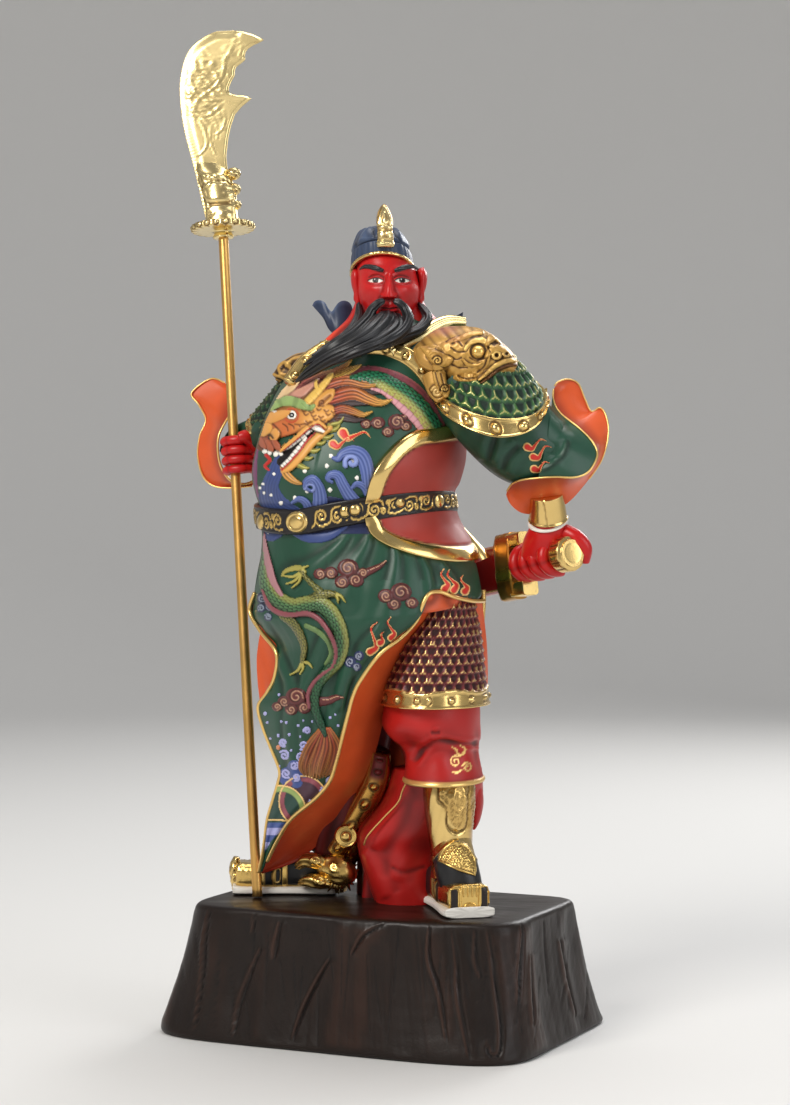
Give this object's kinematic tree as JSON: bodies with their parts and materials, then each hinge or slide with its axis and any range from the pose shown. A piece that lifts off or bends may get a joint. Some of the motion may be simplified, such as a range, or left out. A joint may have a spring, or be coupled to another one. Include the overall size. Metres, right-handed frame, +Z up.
{
  "type": "guan yu statue",
  "caption": "Painted display figure of an armoured general holding a long glaive and a sheathed sword, standing on a dark carved wooden stump plinth.",
  "frame": {"origin": "middle of the plinth's flat underside", "axes": "+Z up; the plinth's long front and the figure's chest face -Y; the glaive stands on the -X side"},
  "size_m": [0.2851, 0.2226, 0.6205],
  "materials": {
    "dark_wood": "satin varnish over very dark carved wood",
    "painted_cast": "satin hand-painted enamel with polished gold trims",
    "brass_rod": "satin gold",
    "polished_gilt": "bright polished pale gold",
    "gilt_and_lacquer": "polished gold hilt and guard, red lacquered scabbard"
  },
  "bodies": {
    "root": {"plinth": "dark_wood", "figure": "painted_cast", "guandao_shaft": "brass_rod", "guandao_head": "polished_gilt", "sword": "gilt_and_lacquer"}
  },
  "joints": []
}
